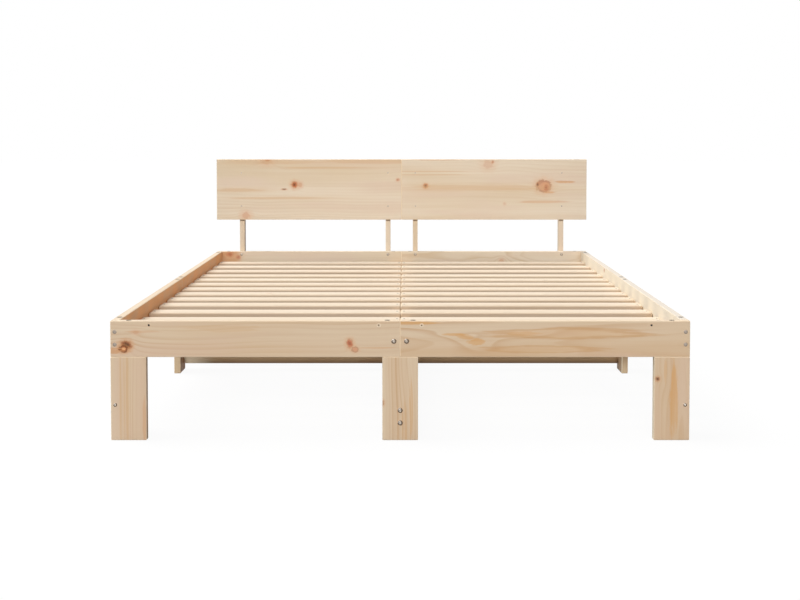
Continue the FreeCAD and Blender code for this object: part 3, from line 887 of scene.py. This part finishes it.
def head_mesh(sizes, dome=True):
    """A bolt head on the XY plane: a rim, a crown of rings and a hexagon socket."""
    radius, crown, socket, depth = (size * MM for size in sizes)
    levels = [(radius, 0.0)]
    for step in range(CROWN_STEPS + 1):
        share = step / CROWN_STEPS
        ring_radius = radius + (socket * CROWN_END - radius) * share
        if dome:
            rise = crown * math.sqrt(max(0.0, 1 - (ring_radius / radius) ** 2 * DOME_FULLNESS))
        else:
            rise = crown * min(1.0, share * FLAT_RISE)
        levels.append((ring_radius, rise))
    top = levels[-1][1]

    mesh = bmesh.new()
    rim = mesh.verts.layers.float.new("rim")
    angles = [2 * math.pi * side / HEAD_SIDES for side in range(HEAD_SIDES)]
    sixth = math.pi / 6
    outlines = [([ring_radius] * HEAD_SIDES, rise) for ring_radius, rise in levels]
    corners = [(angle + sixth) % (2 * sixth) - sixth for angle in angles]
    hexagon = [socket * math.cos(sixth) / math.cos(corner) for corner in corners]
    outlines += [(hexagon, top), (hexagon, top - depth)]
    rings = []
    for reaches, rise in outlines:
        rings.append([mesh.verts.new((reach * math.cos(angle), reach * math.sin(angle), rise))
                      for reach, angle in zip(reaches, angles)])
    for lower, upper in zip(rings, rings[1:]):
        for side in range(HEAD_SIDES):
            after = (side + 1) % HEAD_SIDES
            mesh.faces.new((lower[side], lower[after], upper[after], upper[side]))
    mesh.faces.new(rings[-1])
    for vertex in mesh.verts:
        vertex[rim] = math.hypot(vertex.co.x, vertex.co.y) / radius
    return mesh


def place_heads(name, pattern, stations, material, replaced=None):
    """One object with a copy of the pattern at each station: a point and the way it faces."""
    whole = bmesh.new()
    source = bpy.data.meshes.new(name + "_pattern")
    pattern.to_mesh(source)
    for number, (point, facing) in enumerate(stations):
        spin = Matrix.Rotation(number * HEAD_TURN, 4, "Z")
        aim = Vector(facing).to_track_quat("Z", "Y").to_matrix().to_4x4()
        copy = source.copy()
        copy.transform(Matrix.Translation(point) @ aim @ spin)
        whole.from_mesh(copy)
        bpy.data.meshes.remove(copy)
    mesh = bpy.data.meshes.new(name)
    whole.to_mesh(mesh)
    whole.free()
    bpy.data.meshes.remove(source)
    for polygon in mesh.polygons:
        polygon.use_smooth = True
    mesh.set_sharp_from_angle(angle=SMOOTH_ANGLE)
    mesh.materials.append(material)
    piece = bpy.data.objects.new(name, mesh)
    bpy.context.collection.objects.link(piece)
    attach(piece, "root")
    if replaced:
        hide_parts(replaced)


TO_FOOT, TO_HEAD, UP = (0, -1, 0), (0, 1, 0), (0, 0, 1)
ENDS = ((FOOT, TO_FOOT), (HEAD, TO_HEAD))
SEAM_OFFSET = 17 * MM
SEAM_HEIGHT = RAIL_BOTTOM + 43 * MM
STRETCHER_BOLTS = (47 * MM, 81 * MM)
CORNER_X = RIGHT - 12 * MM
CORNER_HEIGHTS = (RAIL_BOTTOM + 34 * MM, RAIL_BOTTOM + 68 * MM)
LEG_SCREW_HEIGHT = 96 * MM
WELL_FLOOR = RAIL_TOP - 20 * MM
PANEL_MARGIN = 57 * MM
SLAT_SCREW_INSET = 10.6 * MM


def build_fasteners():
    steel = steel_material("zinc_steel")
    matt = steel_material("dull_steel")
    pale = steel_material("pale_steel")
    tan = steel_material("tan_steel")

    button = head_mesh(BUTTON_HEAD)
    seams = [((sign * SEAM_OFFSET, y, SEAM_HEIGHT), way) for y, way in ENDS for sign in SIGNS]
    place_heads("seam_bolt_heads", button, seams, steel, "seam_bolts")
    cross = sum(corner[Y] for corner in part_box("cross_stretcher_left")) / 2
    low = [((0, y, z), way) for y, way in ENDS for z in STRETCHER_BOLTS]
    low += [((sign * RIGHT, cross, z), (sign, 0, 0)) for sign in SIGNS for z in STRETCHER_BOLTS]
    place_heads("stretcher_bolt_heads", button, low, steel, "stretcher_bolts")

    corners = [((sign * CORNER_X, y, z), way) for y, way in ENDS for sign in SIGNS for z in CORNER_HEIGHTS]
    place_heads("corner_bolt_heads", head_mesh(CORNER_HEAD), corners, pale)
    leg_screws = [((sign * CORNER_X, y, LEG_SCREW_HEIGHT), way) for y, way in ENDS for sign in SIGNS]
    place_heads("leg_screw_heads", head_mesh(LEG_SCREW_HEAD), leg_screws, steel)
    leg_bolts = [((x, y, WELL_FLOOR), UP) for x, y in WELLS]
    place_heads("leg_bolt_heads", head_mesh(SUNK_HEAD, dome=False), leg_bolts, matt)

    screw = head_mesh(SCREW_HEAD, dome=False)
    heights = (PANEL_LOW[Z] + PANEL_MARGIN, PANEL_HIGH[Z] - PANEL_MARGIN)
    panel = [((sign * x, PANEL_LOW[Y], z), TO_FOOT) for sign in SIGNS for x in POSTS for z in heights]
    place_heads("post_screws", screw, panel, tan)
    posts = [((sign * x, HEAD - BOARD, POST_BOLT_HEIGHT), TO_FOOT) for sign in SIGNS for x in POSTS]
    place_heads("post_bolt_heads", head_mesh(POST_BOLT_HEAD), posts, tan)

    slats = []
    for node in sorted(NODES):
        if node.startswith("slat_row"):
            slat_low, slat_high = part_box(node)
            y = (slat_low[Y] + slat_high[Y]) / 2
            for sign in SIGNS:
                for x in (SLAT_SCREW_INSET, slat_high[X] - SLAT_SCREW_INSET):
                    slats.append(((sign * x, y, slat_high[Z]), UP))
    place_heads("slat_screws", screw, slats, matt)


# Studio

CAMERA_DISTANCE = 3.530
CAMERA_HEIGHT = 0.833
CAMERA_SIDE = 0.0108
CAMERA_TILT = 2.5
CAMERA_SHIFT = (-0.00525, -0.1399)
FOCAL_LENGTH = 59.61
SENSOR_WIDTH = 36.0
# Lights: the way towards the light, strength, width in degrees
KEY_LIGHT = ((-0.5, 0.14, 0.85), 2.6, 40)
FILL_LIGHT = ((0.0, -0.96, 0.28), 1.75, 24)
LIGHT_DISTANCE = 4
FLOOR_SIZE = 60
FLOOR_GREY = 0.3
FLOOR_GLOW = 1.17
GLOW_SHARE = 0.8
SKY = 0.32


def build_camera():
    data = bpy.data.cameras.new("camera")
    data.sensor_width = SENSOR_WIDTH
    data.lens = FOCAL_LENGTH
    data.shift_x, data.shift_y = CAMERA_SHIFT
    camera = bpy.data.objects.new("camera", data)
    camera.location = (CAMERA_SIDE, FOOT - CAMERA_DISTANCE, CAMERA_HEIGHT)
    camera.rotation_euler = (math.radians(90 - CAMERA_TILT), 0, 0)
    bpy.context.collection.objects.link(camera)
    bpy.context.scene.camera = camera


def soft_sun(name, toward, strength, spread):
    """An even light from one direction with soft shadows."""
    data = bpy.data.lights.new(name, "SUN")
    data.energy = strength
    data.angle = math.radians(spread)
    lamp = bpy.data.objects.new(name, data)
    lamp.location = Vector(toward) * LIGHT_DISTANCE
    lamp.rotation_euler = Vector(toward).to_track_quat("Z", "Y").to_euler()
    bpy.context.collection.objects.link(lamp)


def backdrop_rays(s):
    """1 for the rays that see the backdrop white: straight, mirrored or through glass."""
    path = s.node("ShaderNodeLightPath").outputs
    seen = s.greater(path["Is Camera Ray"], path["Is Glossy Ray"])
    return s.greater(seen, path["Is Transmission Ray"])


def build_floor():
    bpy.ops.mesh.primitive_plane_add(size=FLOOR_SIZE, location=(0, 0, 0))
    floor = bpy.context.object
    floor.name = "floor"
    material, s = new_material("floor")
    nodes = s.tree.nodes
    nodes.remove(nodes["Principled BSDF"])
    output = next(node for node in nodes if node.type == "OUTPUT_MATERIAL")
    diffuse = s.node("ShaderNodeBsdfDiffuse")
    diffuse.inputs["Color"].default_value = (FLOOR_GREY, FLOOR_GREY, FLOOR_GREY, 1)
    glow = s.node("ShaderNodeEmission")
    glow.inputs["Strength"].default_value = FLOOR_GLOW
    mix = s.node("ShaderNodeMixShader")
    s.feed(mix.inputs[0], s.times(backdrop_rays(s), GLOW_SHARE))
    s.feed(mix.inputs[1], diffuse.outputs[0])
    s.feed(mix.inputs[2], glow.outputs[0])
    s.feed(output.inputs["Surface"], mix.outputs[0])
    floor.data.materials.append(material)


def build_world():
    world = bpy.data.worlds.new("studio")
    bpy.context.scene.world = world
    world.use_nodes = True
    s = Shader(world.node_tree)
    background = s.tree.nodes["Background"]
    background.inputs["Color"].default_value = (1, 1, 1, 1)
    s.feed(background.inputs["Strength"], s.plus(s.times(backdrop_rays(s), 1 - SKY), SKY))


def build_studio():
    bpy.context.scene.view_settings.view_transform = "Standard"
    build_floor()
    build_world()
    soft_sun("key", *KEY_LIGHT)
    soft_sun("fill", *FILL_LIGHT)


dress_boards()
build_fasteners()
build_studio()
build_camera()
